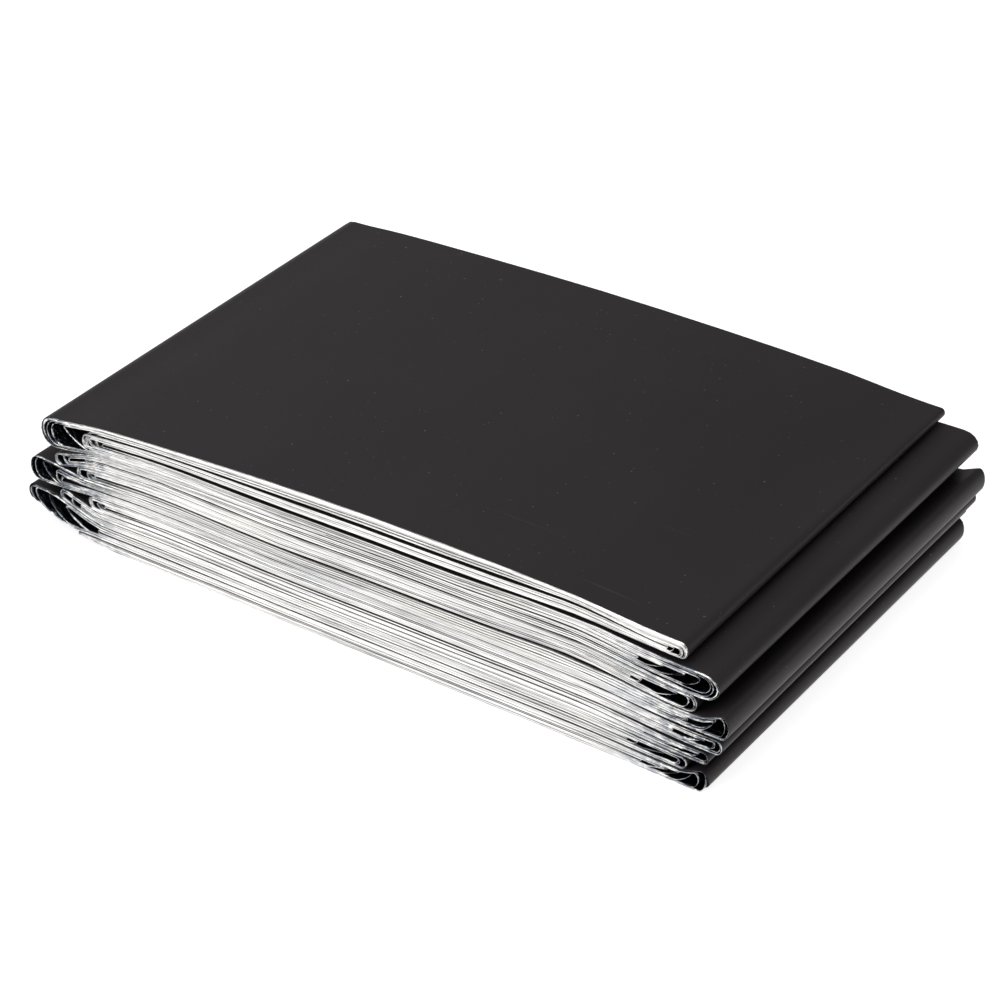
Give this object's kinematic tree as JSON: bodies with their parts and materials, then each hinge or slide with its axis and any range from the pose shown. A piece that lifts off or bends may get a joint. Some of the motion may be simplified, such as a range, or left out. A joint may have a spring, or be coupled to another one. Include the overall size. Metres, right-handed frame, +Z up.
{
  "type": "folded emergency foil blanket",
  "caption": "Emergency foil blanket, black outside and silver inside, pleated and folded back and forth into a flat hand-sized packet.",
  "frame": {"origin": "bottom centre of the folded packet, on the surface it lies on", "axes": "+X along the passes towards the packet's folded right end, +Y from the open silver front to the back, +Z up"},
  "size_m": [0.1372, 0.0832, 0.0269],
  "materials": {
    "foil": "satin black film with a bright silver metallised inner side"
  },
  "bodies": {
    "root": {"foil_blanket": "foil"}
  },
  "joints": []
}
